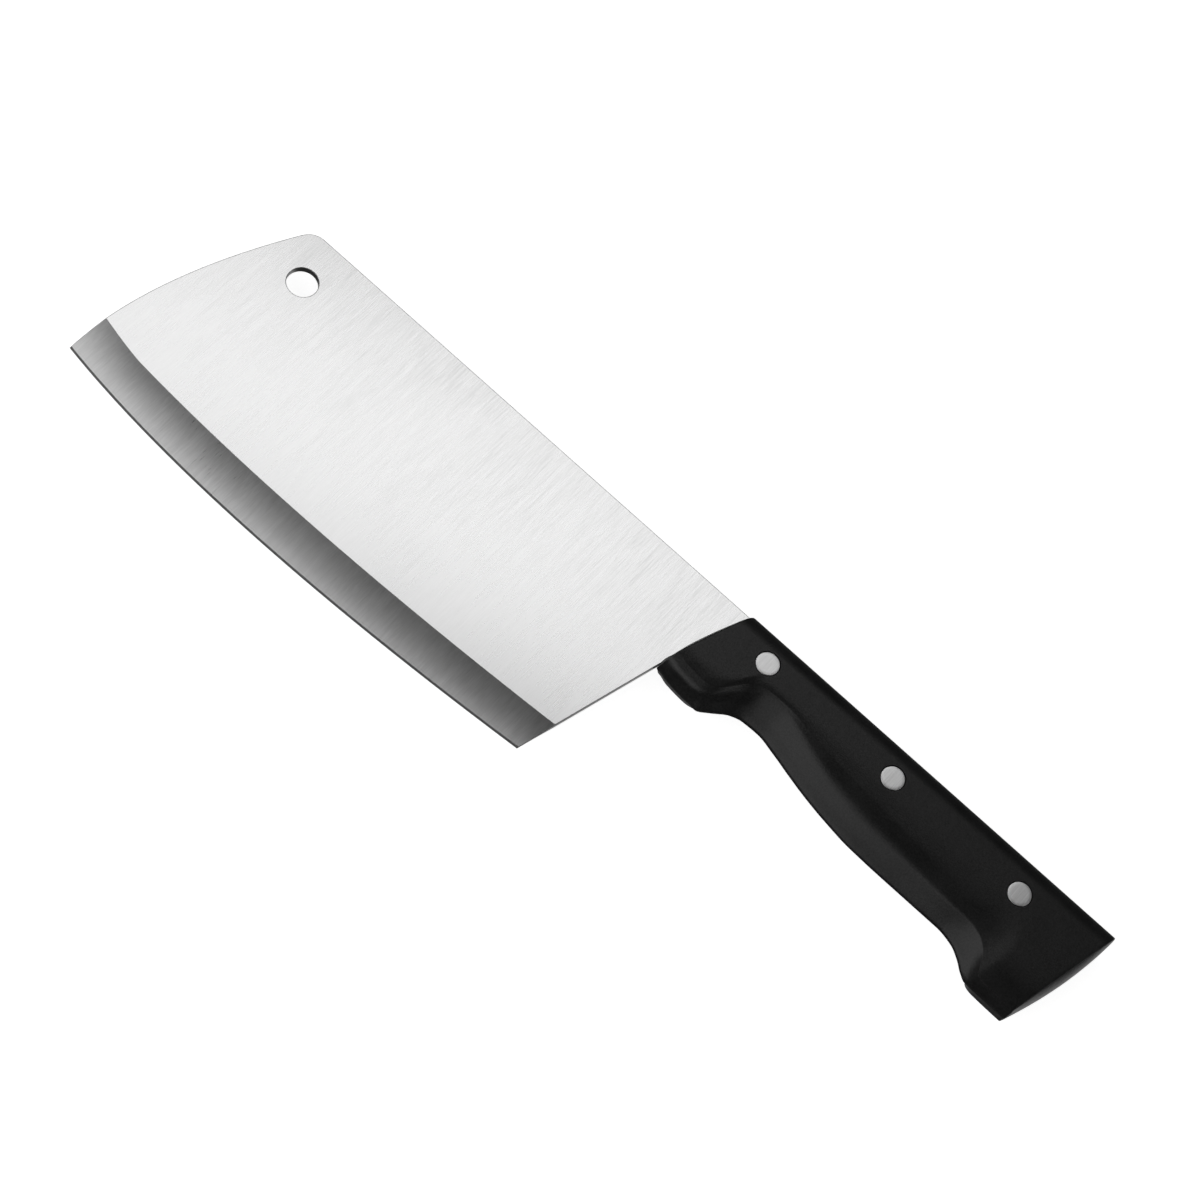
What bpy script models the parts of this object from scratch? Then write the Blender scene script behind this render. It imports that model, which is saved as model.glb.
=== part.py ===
"""Meat cleaver: a ground steel blade with an integral tang, two moulded handle scales and three
two-piece compression rivets.

The tool lies on its side: +X runs towards the butt of the handle, +Y towards the spine and +Z up
through the upper scale.  Shapes are drawn in millimetres in a drawing frame whose origin is the
point where the handle meets the spine, on the middle plane of the blade, and placed() moves them
to the part's own origin: the middle of the bounding box, on the plane the tool lies on.
"""

import math

import bmesh
import bpy
from mathutils import Matrix, Vector

MM = 0.001

# --- blade ---------------------------------------------------------------------------------
BLADE_LENGTH = 159.7        # handle to the front end of the cutting edge, along the spine
BLADE_THICKNESS = 2.0
HEEL = (-17.3, -65.1)       # rear corner of the cutting edge
HEEL_LEAN = 0.26            # rearward lean of the heel line, mm per mm below the spine
TIP = (-BLADE_LENGTH, -65.8)    # front corner of the cutting edge
EDGE_BELLY = (-108.0, -74.3)    # control point that gives the cutting edge its curve
SPINE_FRONT = (-141.4, 0.0)     # where the front edge would meet the spine, were it not rounded
FRONT_BOW = (-160.3, -37.0)     # control point that gives the front edge its curve
FRONT_CORNER = 3.3          # how far the rounding of that corner reaches along both lines
BEVEL_HEEL = (-14.6, -54.6)     # ends of the grind line, where the flat turns into the bevel
BEVEL_TIP = (-159.3, -55.6)
BEVEL_BELLY = (-104.0, -61.6)
GRIND_RISE = 1.45           # extra rise of the grind line where it runs out at the front edge
GRIND_RISE_START = -145.5   # where that rise begins
GRIND_RISE_POWER = 1.3      # how late it happens; 1 would be a straight ramp
MICRO_BEVEL = 0.55          # width of the sharpened strip
SHOULDER_THICKNESS = 0.4    # blade thickness where that strip starts
BEVEL_HOLLOW = 0.14         # how far the ground bevel dips below a straight line, on each side
EDGE_THICKNESS = 0.1        # what stays at the cutting edge itself
HANG_HOLE = (-133.9, -12.6)
HANG_HOLE_RADIUS = 4.0

# --- tang ----------------------------------------------------------------------------------
TANG_DEPTH = 18.0           # its height below the spine
TANG_END = 111.0
TANG_HEEL_Y = -24.5         # where the heel line turns into the tang, inside the handle
TANG_FILLET = 8.0           # radius between the heel line and the tang
FILLET_END = 126            # angle at which that arc runs into the tang's lower edge, degrees
FILLET_RUN_OUT = 2.0        # and how far on it has become straight
TANG_CORNER = 4.0

# --- handle --------------------------------------------------------------------------------
HANDLE_LENGTH = 113.45      # along the spine
HALF_THICKNESS = 7.0        # middle plane to the flat side of a scale
SPINE_FILLET = 6.0          # radius between the spine and the flat side
FRONT_START = 2.35          # where the handle's front end meets the spine
FRONT_SLANT = 0.345         # rearward lean of the front end, mm per mm below the spine
BUTT_SLANT = 0.245
END_DOMES = (1.65, 1.6)      # how far the front end and the butt bulge at the middle plane
CORNER_DOME = 0.25          # the same at the spine and at the belly
GAP = 0.3                   # clearance between neighbouring pieces
POCKET_HEEL = 6.0           # how far the tang's pocket runs on below the heel of the tang
POCKET_FRONT = -14.0        # the pocket is cut from here, ahead of the handle's front end
POCKET_MARGIN = 3.0         # and from here above the spine
HOLE_MARGIN = 2.0           # how far the cutters reach past the surface they open

# Depth of the belly below the spine, along the handle: finger guard, finger notch, palm swell
# and butt hook.
BELLY = (
    (0.0, 25.9), (3.7, 26.6), (8.6, 27.1), (11.5, 27.2), (13.4, 27.4), (15.8, 25.3), (18.4, 22.5),
    (21.3, 21.4), (25.7, 21.2), (31.8, 22.3), (38.4, 23.85), (45.1, 25.3), (52.5, 26.5),
    (60.9, 27.4), (70.8, 27.6), (80.6, 27.6), (87.5, 27.6), (92.5, 28.45), (96.4, 30.3),
    (99.4, 32.3), (101.9, 33.4), (105.3, 33.45), (HANDLE_LENGTH, 33.5),
)
# Depth of the crest that bounds the scooped belly; it meets the belly at both ends of the scoop.
CREST = (
    (0.0, 24.5), (3.7, 25.4), (9.6, 25.8), (12.6, 24.9), (14.4, 21.0), (16.3, 16.8),
    (19.5, 15.2), (24.4, 15.0), (30.3, 16.2), (37.2, 18.2), (45.1, 19.9), (54.0, 21.1),
    (63.9, 21.9), (73.7, 22.5), (84.6, 23.1), (90.5, 23.2), (94.4, 24.0), (98.0, 26.3),
    (100.6, 29.6), (102.3, 31.9), (105.0, 32.5), (HANDLE_LENGTH, 32.7),
)
# Height of the crest above the middle plane.
CREST_HEIGHT = (
    (0.0, 5.1), (9.0, 5.1), (14.0, 5.3), (18.0, 5.8), (26.0, 5.8), (50.0, 5.3), (90.0, 5.2),
    (100.0, 5.0), (106.0, 4.8), (HANDLE_LENGTH, 4.8),
)
CREST_REACH = (             # how far the rounding of the crest reaches towards its neighbours
    (0.0, 0.85), (60.0, 0.8), (80.0, 0.45), (94.0, 0.14), (103.0, 0.08), (HANDLE_LENGTH, 0.08),
)
SCOOP_SPLIT = (0.45, 0.46)  # middle of the scoop, as shares of its width and height
SCOOP_FOOT = 0.12           # height of the upright foot of the scoop, as a share of its height
# Widest roll between the flat side and the crest.
ROLL = ((0.0, 5.5), (9.0, 5.5), (18.0, 9.0), (HANDLE_LENGTH, 9.0))
FLAT_DEPTH = 12.4           # the side stays flat at least down to here, past the rivet heads
ROLL_START = 3.5            # how far before the end of the flat it starts to curve
ROLL_DROP = 0.27            # share of the drop to the crest that the first half of the roll makes

# --- rivets --------------------------------------------------------------------------------
RIVETS = ((12.1, -9.0), (51.9, -9.6), (91.7, -10.2))
HEAD_RADIUS = 3.0
HEAD_DEPTH = 1.5
TUBE_RADIUS = 2.2
TUBE_BORE = 1.55
TUBE_REACH = -3.5           # how far down each tube reaches
PIN_RADIUS = 1.25
PIN_REACH = 4.0             # how far up each pin reaches into its tube

# --- how finely round shapes are divided ------------------------------------------------------
CIRCLE_STEPS = 32
FILLET_STEPS = 6
FLAT_STEPS = 4
CHAIKIN_ROUNDS = 2
FRONT_STEPS = 16
EDGE_STEPS = 28
BEVEL_STEPS = 4
DOME_STEPS = 6
SHARP_ANGLE = 28            # faces that meet at more than this are shaded as an edge, degrees
STATION_STEP = 4.0          # distance between the outlines that make up a scale
CLOSE_STEP = 1.0            # the same where the outline changes quickly
CLOSE_SPANS = ((12.0, 20.0), (95.0, 107.0))
LAST_STATION = 0.6          # an outline nearer to the butt than this is left out

BODY_MIN = Vector((-159.71, -69.88, -HALF_THICKNESS))
BODY_MAX = Vector((FRONT_START + HANDLE_LENGTH + CORNER_DOME, 0.0, HALF_THICKNESS))
ORIGIN = Vector(((BODY_MIN.x + BODY_MAX.x) / 2, (BODY_MIN.y + BODY_MAX.y) / 2, BODY_MIN.z))


# --- small helpers -------------------------------------------------------------------------
def clear_scene():
    for obj in list(bpy.data.objects):
        bpy.data.objects.remove(obj)


def material(name, color, metallic, roughness):
    made = bpy.data.materials.new(name)
    made.use_nodes = True
    shader = made.node_tree.nodes["Principled BSDF"]
    shader.inputs["Base Color"].default_value = (*color, 1.0)
    shader.inputs["Metallic"].default_value = metallic
    shader.inputs["Roughness"].default_value = roughness
    return made


def curve_value(points, s):
    """The value at s of a smooth curve through (place, value) points, with no overshoot."""
    if s <= points[0][0]:
        return points[0][1]
    if s >= points[-1][0]:
        return points[-1][1]
    i = max(k for k in range(len(points) - 1) if points[k][0] <= s)

    def chord(k):
        return (points[k + 1][1] - points[k][1]) / (points[k + 1][0] - points[k][0])

    def slope(k):
        if k in (0, len(points) - 1) or chord(k - 1) * chord(k) <= 0:
            return 0.0
        return 2 * chord(k - 1) * chord(k) / (chord(k - 1) + chord(k))

    width = points[i + 1][0] - points[i][0]
    t = (s - points[i][0]) / width
    return (
        points[i][1] * (1 + 2 * t) * (1 - t) ** 2
        + points[i + 1][1] * t * t * (3 - 2 * t)
        + width * t * (1 - t) * (slope(i) * (1 - t) - slope(i + 1) * t)
    )


def quadratic(start, control, end, t):
    """A point of the quadratic Bezier curve."""
    return tuple(
        a * (1 - t) ** 2 + 2 * b * t * (1 - t) + c * t * t for a, b, c in zip(start, control, end)
    )


def arc(centre, radius, start, end, steps):
    """Points on an arc, its angles in degrees."""
    angles = (math.radians(start + (end - start) * i / steps) for i in range(steps + 1))
    return [(centre[0] + radius * math.cos(a), centre[1] + radius * math.sin(a)) for a in angles]


def chaikin(points, rounds):
    """The polyline with its inner corners cut, which tends to a smooth curve."""
    for _ in range(rounds):
        cut = [points[0]]
        for a, b in zip(points, points[1:]):
            cut.append(tuple(0.75 * p + 0.25 * q for p, q in zip(a, b)))
            cut.append(tuple(0.25 * p + 0.75 * q for p, q in zip(a, b)))
        cut[1] = points[0]
        cut[-1] = points[-1]
        points = cut[1:]
    return points


def placed(name, bm, surface):
    """An object made of a bmesh drawn in millimetres in the drawing frame."""
    bmesh.ops.remove_doubles(bm, verts=bm.verts, dist=1e-4)
    bmesh.ops.recalc_face_normals(bm, faces=bm.faces)
    bmesh.ops.translate(bm, verts=bm.verts, vec=-ORIGIN)
    bmesh.ops.scale(bm, verts=bm.verts, vec=Vector((MM, MM, MM)))
    mesh = bpy.data.meshes.new(name)
    bm.to_mesh(mesh)
    bm.free()
    obj = bpy.data.objects.new(name, mesh)
    bpy.context.scene.collection.objects.link(obj)
    if surface:
        mesh.materials.append(surface)
    mesh.shade_smooth()
    mesh.set_sharp_from_angle(angle=math.radians(SHARP_ANGLE))
    return obj


def prism(outline, low, high):
    """A bmesh of the outline, in XY, between two heights."""
    bm = bmesh.new()
    face = bm.faces.new([bm.verts.new((x, y, low)) for x, y in outline])
    raised = bmesh.ops.extrude_face_region(bm, geom=[face])["geom"]
    verts = [v for v in raised if isinstance(v, bmesh.types.BMVert)]
    bmesh.ops.translate(bm, verts=verts, vec=(0, 0, high - low))
    return bm


def rounds(place, profile):
    """A bmesh turned about an upright axis at place, from (radius, height) pairs bottom to top."""
    bm = bmesh.new()
    rings = []
    for radius, height in profile:
        if radius == 0:
            rings.append([bm.verts.new((*place, height))])
            continue
        ring = arc(place, radius, 0, 360, CIRCLE_STEPS)[:-1]
        rings.append([bm.verts.new((x, y, height)) for x, y in ring])
    for lower, upper in zip(rings, rings[1:]):
        for i in range(CIRCLE_STEPS):
            j = (i + 1) % CIRCLE_STEPS
            corners = [lower[i % len(lower)], lower[j % len(lower)]]
            corners += [upper[j % len(upper)], upper[i % len(upper)]]
            bm.faces.new(list(dict.fromkeys(corners)))
    return bm


def cutter(name, bm):
    made = placed(name, bm, None)
    made.hide_render = True
    made.display_type = "WIRE"
    return made


def cut(obj, *cutters):
    for other in cutters:
        boolean = obj.modifiers.new(other.name, "BOOLEAN")
        boolean.operation = "DIFFERENCE"
        boolean.solver = "EXACT"
        boolean.object = other


# --- blade ---------------------------------------------------------------------------------
def heel_x(y):
    """The heel line, which runs on inside the handle."""
    return HEEL[0] + HEEL_LEAN * (y - HEEL[1])


def front_point(t):
    return quadratic(SPINE_FRONT, FRONT_BOW, TIP, t)


def front_t(y):
    """The parameter at which the front edge's curve reaches y."""
    square = TIP[1] - 2 * FRONT_BOW[1]
    return (-FRONT_BOW[1] - math.sqrt(FRONT_BOW[1] ** 2 + square * y)) / square


def front_edge(low_y):
    """The front edge from the spine, round the corner and down to low_y."""
    start = front_t(-FRONT_CORNER)
    end = front_t(low_y)
    on_spine = (SPINE_FRONT[0] + FRONT_CORNER, 0.0)
    corner = [i / FILLET_STEPS for i in range(FILLET_STEPS)]
    outline = [quadratic(on_spine, SPINE_FRONT, front_point(start), t) for t in corner]
    bow = [i / FRONT_STEPS for i in range(FRONT_STEPS + 1)]
    return outline + [front_point(start + (end - start) * t) for t in bow]


def grind_point(t):
    x, y = quadratic(BEVEL_HEEL, BEVEL_BELLY, BEVEL_TIP, t)
    run = max(0.0, (GRIND_RISE_START - x) / (GRIND_RISE_START - BEVEL_TIP[0]))
    return x, y + GRIND_RISE * run ** GRIND_RISE_POWER


def edge_point(t):
    return quadratic(HEEL, EDGE_BELLY, TIP, t)


def flat_outline():
    """The flat of the blade and the tang, from the heel end of the grind line to its front end."""
    low = -TANG_DEPTH
    fillet_x = heel_x(TANG_HEEL_Y) + TANG_FILLET
    tang = arc((fillet_x, TANG_HEEL_Y), TANG_FILLET, 180, FILLET_END, FILLET_STEPS)
    tang += [(tang[-1][0] + FILLET_RUN_OUT, low), (TANG_END - TANG_CORNER, low)]
    corner = (TANG_END - TANG_CORNER, low + TANG_CORNER)
    tang += arc(corner, TANG_CORNER, -90, 0, FILLET_STEPS)[1:]
    return tang + [(TANG_END, 0.0)] + front_edge(grind_point(1.0)[1])[:-1]


def bevel_rows():
    """Lines along the bevel as ((x, y), half thickness) points, from the grind line to the edge."""
    half = BLADE_THICKNESS / 2
    shoulder = SHOULDER_THICKNESS / 2
    columns = []
    for i in range(EDGE_STEPS + 1):
        t = i / EDGE_STEPS
        top = Vector(grind_point(t))
        low = Vector(edge_point(t))
        strip = low + (top - low).normalized() * MICRO_BEVEL
        column = []
        for k in range(BEVEL_STEPS + 1):
            u = k / BEVEL_STEPS
            point = top.lerp(strip, u)
            if i == EDGE_STEPS:
                point.x = front_point(front_t(point.y))[0]
            hollow = 4 * u * (1 - u) * BEVEL_HOLLOW
            column.append((point, half + (shoulder - half) * u - hollow))
        columns.append([*column, (low, EDGE_THICKNESS / 2)])
    return list(zip(*columns))


def make_blade(steel):
    """The flats are one face each side; strips of faces follow the bevel and the sharpened edge."""
    half = BLADE_THICKNESS / 2
    bm = bmesh.new()
    sides = []
    for side in (1, -1):
        rows = [[bm.verts.new((*p, side * z)) for p, z in row] for row in bevel_rows()]
        rest = [bm.verts.new((x, y, side * half)) for x, y in flat_outline()]
        for upper, lower in zip(rows, rows[1:]):
            for a, b, c, d in zip(upper, upper[1:], lower[1:], lower):
                bm.faces.new((a, b, c, d))
        bm.faces.new(rows[0] + rest[::-1])
        heel = [row[0] for row in rows]
        front = [row[-1] for row in rows]
        # once round the outline: up the heel, round tang and front, and back along the edge
        sides.append(heel[::-1] + rest + front + rows[-1][-2:0:-1])
    upper, lower = sides
    for i in range(len(upper)):
        bm.faces.new((upper[i - 1], upper[i], lower[i], lower[i - 1]))
    blade = placed("blade", bm, steel)
    through = half + HOLE_MARGIN
    hole = [(HANG_HOLE_RADIUS, -through), (HANG_HOLE_RADIUS, through)]
    cut(blade, cutter("hang_hole_cutter", capped(HANG_HOLE, hole)))
    for i, place in enumerate(RIVETS, 1):
        clearance = [(TUBE_RADIUS + GAP, -through), (TUBE_RADIUS + GAP, through)]
        cut(blade, cutter(f"tang_hole_cutter_{i}", capped(place, clearance)))
    return blade


def capped(place, profile):
    """rounds() closed at its bottom and top."""
    return rounds(place, [(0, profile[0][1]), *profile, (0, profile[-1][1])])


# --- handle scales -------------------------------------------------------------------------
def section(s):
    """A scale's outer line at station s: (y, z) from the spine round to the belly seam."""
    top = HALF_THICKNESS
    seam = GAP / 2
    belly = -curve_value(BELLY, s)
    crest = -curve_value(CREST, s)
    height = curve_value(CREST_HEIGHT, s)
    fillet = arc((-SPINE_FILLET, top - SPINE_FILLET), SPINE_FILLET, 0, 90, FILLET_STEPS)
    below_crest = crest - belly
    flat_end = min(crest + curve_value(ROLL, s), -FLAT_DEPTH)
    flat_width = flat_end + ROLL_START + SPINE_FILLET
    flat = [(-SPINE_FILLET + flat_width * i / FLAT_STEPS, top) for i in range(1, FLAT_STEPS)]
    reach = curve_value(CREST_REACH, s)
    roll = Vector(((crest + flat_end) / 2, top - ROLL_DROP * (top - height)))
    ridge = Vector((crest, height))
    scoop = Vector((belly + SCOOP_SPLIT[0] * below_crest, SCOOP_SPLIT[1] * height))
    skin = [(flat_end + ROLL_START, top), (flat_end, top), roll, ridge.lerp(roll, reach), ridge]
    skin += [ridge.lerp(scoop, reach), scoop, (belly, SCOOP_FOOT * height), (belly, seam)]
    return [(0.0, seam), *fillet, *flat, *chaikin(skin, CHAIKIN_ROUNDS)]


def slant(s):
    return FRONT_SLANT + (BUTT_SLANT - FRONT_SLANT) * s / HANDLE_LENGTH


def stations():
    """Closer together where the scoop starts and ends."""
    places = []
    s = 0.0
    while s < HANDLE_LENGTH - LAST_STATION:
        places.append(s)
        s += CLOSE_STEP if any(a <= s < b for a, b in CLOSE_SPANS) else STATION_STEP
    return [*places, HANDLE_LENGTH]


def dome_rows(s, dome):
    """The rows of an end that bulges out by dome, in an arc from its rim to the middle plane."""
    rim = section(s)
    seam = GAP / 2
    depth = -rim[-1][0]
    rows = []
    for i in range(1, DOME_STEPS + 1):
        height = 1 - i / DOME_STEPS
        row = []
        for y, z in rim:
            middle = 1 - (2 * -y / depth - 1) ** 2
            lens = CORNER_DOME + (abs(dome) - CORNER_DOME) * middle
            bulge = math.copysign(lens * (1 - height ** 2), dome)
            x = FRONT_START + s + slant(s) * y + bulge
            row.append((x, y, seam + (z - seam) * height))
        rows.append(row)
    return rows


def scale_body():
    """The upper scale, solid down to the middle plane."""
    rows = [
        [(FRONT_START + s + slant(s) * y, y, z) for y, z in section(s)] for s in stations()
    ]
    front, butt = END_DOMES
    rows = dome_rows(0.0, -front)[::-1] + rows + dome_rows(HANDLE_LENGTH, butt)
    bm = bmesh.new()
    grid = [[bm.verts.new(p) for p in row] for row in rows]
    for a, b in zip(grid, grid[1:]):
        for i in range(len(a) - 1):
            bm.faces.new((a[i], a[i + 1], b[i + 1], b[i]))
    rim = [row[0] for row in grid] + grid[-1][1:-1]
    rim += [row[-1] for row in reversed(grid)] + grid[0][-2:0:-1]
    bm.faces.new(rim)
    bmesh.ops.remove_doubles(bm, verts=bm.verts, dist=1e-4)
    return bm


def tang_pocket():
    """The space the tang needs in a scale, open to the spine and the front."""
    low = -BLADE_THICKNESS
    high = BLADE_THICKNESS / 2 + GAP
    bottom = -TANG_DEPTH - GAP
    end = TANG_END + GAP
    foot = TANG_HEEL_Y - POCKET_HEEL
    centre = (heel_x(TANG_HEEL_Y) + TANG_FILLET, TANG_HEEL_Y)
    fillet = arc(centre, TANG_FILLET - GAP, 180, FILLET_END, FILLET_STEPS)
    outline = [(heel_x(foot) + GAP, foot), *fillet, (fillet[-1][0] + FILLET_RUN_OUT, bottom)]
    outline += [(end, bottom), (end, POCKET_MARGIN), (POCKET_FRONT, POCKET_MARGIN)]
    return prism([*outline, (POCKET_FRONT, foot)], low, high)


def rivet_room(place):
    """A countersunk hole through a scale."""
    top = HALF_THICKNESS
    head = HEAD_RADIUS + GAP
    floor = top - HEAD_DEPTH - GAP
    shank = TUBE_RADIUS + GAP
    out = top + HOLE_MARGIN
    return capped(place, [(shank, -HOLE_MARGIN), (shank, floor), (head, floor), (head, out)])


def mirrored(bm):
    """The bmesh turned over the middle plane, for the lower side of the handle."""
    bmesh.ops.transform(bm, matrix=Matrix.Scale(-1, 4, (0, 0, 1)), verts=bm.verts)
    bmesh.ops.reverse_faces(bm, faces=bm.faces)
    return bm


def make_scales(plastic):
    for name, flip in (("front_scale", False), ("back_scale", True)):
        def side(bm):
            return mirrored(bm) if flip else bm

        scale = placed(name, side(scale_body()), plastic)
        cut(scale, cutter(f"{name}_tang_cutter", side(tang_pocket())))
        for i, place in enumerate(RIVETS, 1):
            cut(scale, cutter(f"{name}_rivet_cutter_{i}", side(rivet_room(place))))


# --- rivets --------------------------------------------------------------------------------
def make_rivets(metal):
    """Each rivet is a headed tube from above and a headed pin from below, pressed together."""
    top = HALF_THICKNESS
    for i, place in enumerate(RIVETS, 1):
        tube = [
            (TUBE_BORE, TUBE_REACH), (TUBE_RADIUS, TUBE_REACH), (TUBE_RADIUS, top - HEAD_DEPTH),
            (HEAD_RADIUS, top - HEAD_DEPTH), (HEAD_RADIUS, top), (0, top),
        ]
        bore = [(0, PIN_REACH + GAP), (TUBE_BORE, PIN_REACH + GAP), (TUBE_BORE, TUBE_REACH)]
        placed(f"rivet_{i}_tube", rounds(place, bore + tube[1:]), metal)
        pin = [
            (HEAD_RADIUS, -top), (HEAD_RADIUS, HEAD_DEPTH - top), (PIN_RADIUS, HEAD_DEPTH - top),
            (PIN_RADIUS, PIN_REACH),
        ]
        placed(f"rivet_{i}_pin", capped(place, pin), metal)


def main():
    clear_scene()
    make_blade(material("satin_steel", (0.62, 0.62, 0.61), 1.0, 0.32))
    make_scales(material("black_plastic", (0.012, 0.012, 0.013), 0.0, 0.42))
    make_rivets(material("rivet_steel", (0.60, 0.60, 0.59), 1.0, 0.38))


main()
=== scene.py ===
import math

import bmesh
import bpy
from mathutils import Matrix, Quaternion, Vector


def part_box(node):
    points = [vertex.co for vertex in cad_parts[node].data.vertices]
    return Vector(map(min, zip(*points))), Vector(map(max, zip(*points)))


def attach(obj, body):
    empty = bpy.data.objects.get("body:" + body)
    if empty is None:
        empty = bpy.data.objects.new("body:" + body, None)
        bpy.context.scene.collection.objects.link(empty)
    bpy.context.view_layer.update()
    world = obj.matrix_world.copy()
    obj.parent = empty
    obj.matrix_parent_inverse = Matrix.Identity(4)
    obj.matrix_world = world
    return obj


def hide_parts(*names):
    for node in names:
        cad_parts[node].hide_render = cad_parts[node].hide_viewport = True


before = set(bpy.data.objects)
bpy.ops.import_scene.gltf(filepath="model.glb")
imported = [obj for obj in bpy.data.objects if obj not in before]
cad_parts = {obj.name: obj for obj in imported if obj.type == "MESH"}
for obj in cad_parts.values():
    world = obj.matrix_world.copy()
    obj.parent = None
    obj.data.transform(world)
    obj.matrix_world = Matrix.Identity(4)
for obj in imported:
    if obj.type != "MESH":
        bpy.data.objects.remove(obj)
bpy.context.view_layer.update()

# Looks of the meat cleaver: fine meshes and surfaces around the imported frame, a pale floor, soft
# studio light and the camera.
#
# Shapes are drawn in millimetres in a drawing frame: its origin is where the handle meets the
# spine, on the middle plane of the blade, with X towards the butt, Y towards the spine and Z up.
# placed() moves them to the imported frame, whose boxes say where that origin is.

MM = 0.001

# --- blade, in the drawing frame -------------------------------------------------------------
HALF_BLADE = 1.0            # half the blade's thickness
HEEL = (-17.3, -65.1)       # rear corner of the cutting edge
HEEL_LEAN = 0.26            # rearward lean of the heel line, mm per mm below the spine
TIP = (-159.7, -65.8)       # front corner of the cutting edge
EDGE_BELLY = (-108.0, -74.3)    # control point that gives the cutting edge its curve
SPINE_FRONT = (-141.4, 0.0)     # where the front edge would meet the spine, were it not rounded
FRONT_BOW = (-160.3, -37.0)     # control point that gives the front edge its curve
FRONT_CORNER = 3.3          # how far the rounding of that corner reaches along both lines
BEVEL_HEEL = (-14.6, -54.6)     # ends of the grind line, where the flat turns into the bevel
BEVEL_TIP = (-159.3, -55.6)
BEVEL_BELLY = (-104.0, -61.6)
GRIND_RISE = 1.45           # extra rise of the grind line where it runs out at the front edge
GRIND_RISE_START = -145.5   # where that rise begins
GRIND_RISE_POWER = 1.3      # how late it happens; 1 would be a straight ramp
MICRO_BEVEL = 0.55          # width of the sharpened strip
HALF_SHOULDER = 0.2         # half the thickness where that strip starts
HALF_EDGE = 0.05            # and at the cutting edge itself
BEVEL_HOLLOW = 0.14         # how far the ground bevel dips below a straight line, on each side
HANG_HOLE = (-133.9, -12.6)
HANG_HOLE_RADIUS = 4.0
WALL_ROUND = 0.18           # radius that breaks the blade's square edges
THIN_ROUND = 0.6            # the same, at most, as a share of half the thickness

# --- tang ------------------------------------------------------------------------------------
TANG_DEPTH = 18.0           # its height below the spine
TANG_END = 111.0
TANG_HEEL_Y = -24.5         # where the heel line turns into the tang, inside the handle
TANG_FILLET = 8.0           # radius between the heel line and the tang
FILLET_END = 126            # angle at which that arc runs into the tang's lower edge, degrees
FILLET_RUN_OUT = 2.0        # and how far on it has become straight
TANG_CORNER = 4.0

# --- handle ----------------------------------------------------------------------------------
HANDLE_LENGTH = 113.45      # along the spine
HALF_THICKNESS = 7.0        # middle plane to the flat side of a scale
SPINE_FILLET = 6.0          # radius between the spine and the flat side
FRONT_START = 2.35          # where the handle's front end meets the spine
FRONT_SLANT = 0.345         # rearward lean of the front end, mm per mm below the spine
BUTT_SLANT = 0.245
END_DOMES = (1.65, 1.6)     # how far the front end and the butt bulge at the middle plane
CORNER_DOME = 0.25          # the same at the spine and at the belly
RIM_ROUND = 0.28            # radius that breaks the rims of both ends
RIM_SHARE = 0.5             # the same, at most, as a share of the height above the seam
LEAST_HEIGHT = 0.01
# Depth of the belly below the spine, along the handle: finger guard, finger notch, palm swell
# and butt hook.
BELLY = (
    (0.0, 25.9), (3.7, 26.6), (8.6, 27.1), (11.5, 27.2), (13.4, 27.4), (15.8, 25.3), (18.4, 22.5),
    (21.3, 21.4), (25.7, 21.2), (31.8, 22.3), (38.4, 23.85), (45.1, 25.3), (52.5, 26.5),
    (60.9, 27.4), (70.8, 27.6), (80.6, 27.6), (87.5, 27.6), (92.5, 28.45), (96.4, 30.3),
    (99.4, 32.3), (101.9, 33.4), (105.3, 33.45), (HANDLE_LENGTH, 33.5),
)
# Depth of the crest that bounds the scooped belly; it meets the belly at both ends of the scoop.
CREST = (
    (0.0, 24.5), (3.7, 25.4), (9.6, 25.8), (12.6, 24.9), (14.4, 21.0), (16.3, 16.8),
    (19.5, 15.2), (24.4, 15.0), (30.3, 16.2), (37.2, 18.2), (45.1, 19.9), (54.0, 21.1),
    (63.9, 21.9), (73.7, 22.5), (84.6, 23.1), (90.5, 23.2), (94.4, 24.0), (98.0, 26.3),
    (100.6, 29.6), (102.3, 31.9), (105.0, 32.5), (HANDLE_LENGTH, 32.7),
)
# Height of the crest above the middle plane.
CREST_HEIGHT = (
    (0.0, 5.1), (9.0, 5.1), (14.0, 5.3), (18.0, 5.8), (26.0, 5.8), (50.0, 5.3), (90.0, 5.2),
    (100.0, 5.0), (106.0, 4.8), (HANDLE_LENGTH, 4.8),
)
CREST_REACH = (             # how far the rounding of the crest reaches towards its neighbours
    (0.0, 0.85), (60.0, 0.8), (80.0, 0.45), (94.0, 0.14), (103.0, 0.02), (HANDLE_LENGTH, 0.02),
)
SCOOP_SPLIT = (0.45, 0.46)  # middle of the scoop, as shares of its width and height
SCOOP_FOOT = 0.12           # height of the upright foot of the scoop, as a share of its height
# Widest roll between the flat side and the crest.
ROLL = ((0.0, 5.5), (9.0, 5.5), (18.0, 9.0), (HANDLE_LENGTH, 9.0))
FLAT_DEPTH = 12.4           # the side stays flat at least down to here, past the rivet heads
ROLL_START = 3.5            # how far before the end of the flat it starts to curve
ROLL_DROP = 0.27            # share of the drop to the crest that the first half of the roll makes

# --- rivets ----------------------------------------------------------------------------------
RIVETS = ((12.1, -9.0), (51.9, -9.6), (91.7, -10.2))
HEAD_RADIUS = 3.0
HEAD_DEPTH = 1.5
HEAD_CROWN = 0.012          # how much higher the middle of a head is than its rim
HEAD_CHAMFER = 0.16         # radius that breaks its rim
TUBE_RADIUS = 2.2
TUBE_BORE = 1.55
TUBE_REACH = -3.5           # how far down each tube reaches
PIN_RADIUS = 1.25
PIN_REACH = 4.0             # how far up each pin reaches into its tube

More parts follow.
